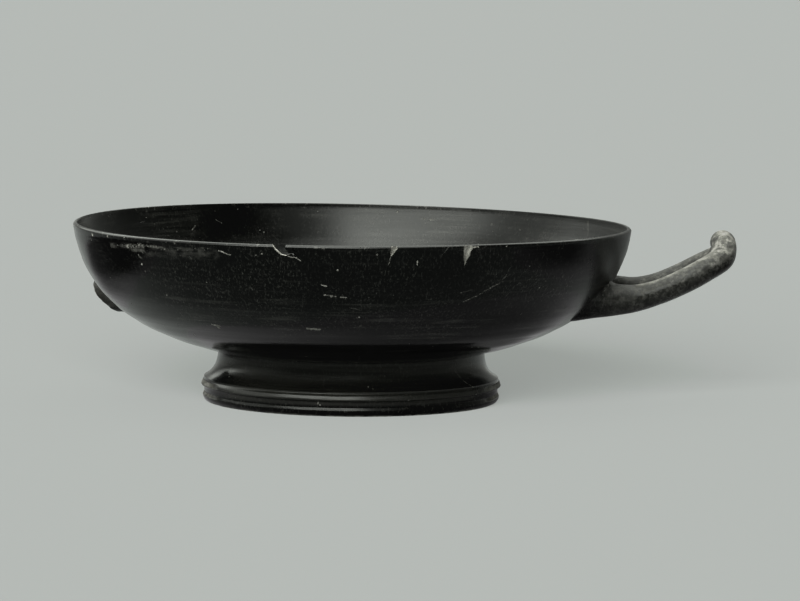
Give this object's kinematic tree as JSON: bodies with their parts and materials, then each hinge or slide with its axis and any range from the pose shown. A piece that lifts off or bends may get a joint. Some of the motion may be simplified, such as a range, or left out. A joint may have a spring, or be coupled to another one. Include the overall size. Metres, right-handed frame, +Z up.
{
  "type": "one-handled bowl",
  "caption": "Wide shallow stemless drinking cup of black-gloss fired clay on a moulded ring foot, with a rising loop handle, a broken stub opposite and a notched rim.",
  "frame": {"origin": "on the surface the cup stands on, under the middle of its box", "axes": "+X from the cup towards its surviving loop handle, +Z up out of the bowl, +Y to the cup's back"},
  "size_m": [0.2244, 0.1888, 0.0603],
  "materials": {
    "black_gloss_clay": "black gloss slip on fired clay, worn and pitted, with pale clay where it is chipped or rubbed away"
  },
  "bodies": {
    "root": {"cup": "black_gloss_clay"}
  },
  "joints": []
}
